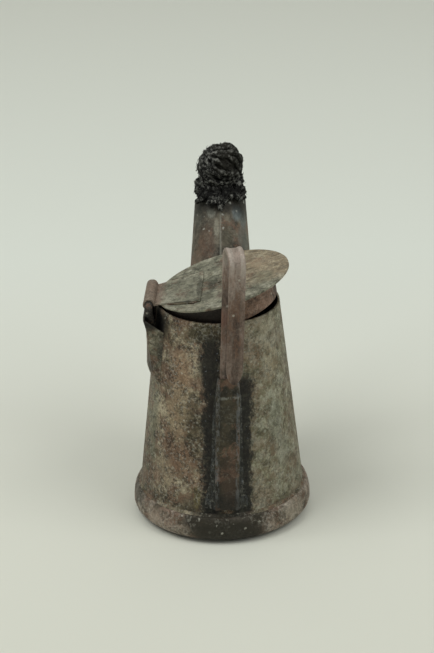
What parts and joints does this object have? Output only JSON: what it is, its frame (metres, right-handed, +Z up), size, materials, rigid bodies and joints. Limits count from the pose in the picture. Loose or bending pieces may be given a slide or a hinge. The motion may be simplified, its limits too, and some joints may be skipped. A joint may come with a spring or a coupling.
{
  "type": "burning fluid lamp",
  "caption": "Small soldered tinplate lamp: conical font with a hinged plug lid, a slanting spout with a charred cotton wick, and a flat hook that hangs it on a cap.",
  "frame": {"origin": "centre of the base cup's flat underside, on the floor", "axes": "+Z up the font's axis, +Y towards the wick spout, -Y towards the cap hook, -X towards the lid's hinge"},
  "size_m": [0.05, 0.0823, 0.0926],
  "materials": {
    "tinplate": "dull, rusted and oil-stained",
    "sooty_tinplate": "dull, sooty",
    "solder": "dull grey",
    "wire": "brown, rusted",
    "cotton": "oil-soaked",
    "char": "charred"
  },
  "bodies": {
    "lamp": {"font_shell": "tinplate", "base_cup": "tinplate", "base_solder": "solder", "spout": "sooty_tinplate", "spout_solder": "solder", "hook": "tinplate", "hook_cover": "sooty_tinplate", "cover_solder": "solder", "hinge_staple": "wire", "hinge_bracket": "tinplate", "bracket_solder": "solder", "wick_core": "cotton", "wick_head": "char"},
    "lid": {"lid_disc": "tinplate", "lid_skirt": "tinplate", "skirt_solder": "solder", "hinge_strap": "tinplate", "strap_solder": "solder"}
  },
  "joints": [
    {"name": "lid_hinge", "type": "hinge", "parent": "lamp", "child": "lid", "pos_m": [-0.01849, 0.00048, 0.0643], "axis": [-0.0262, -0.9997, 0], "range_deg": [-14.6, 228]}
  ]
}
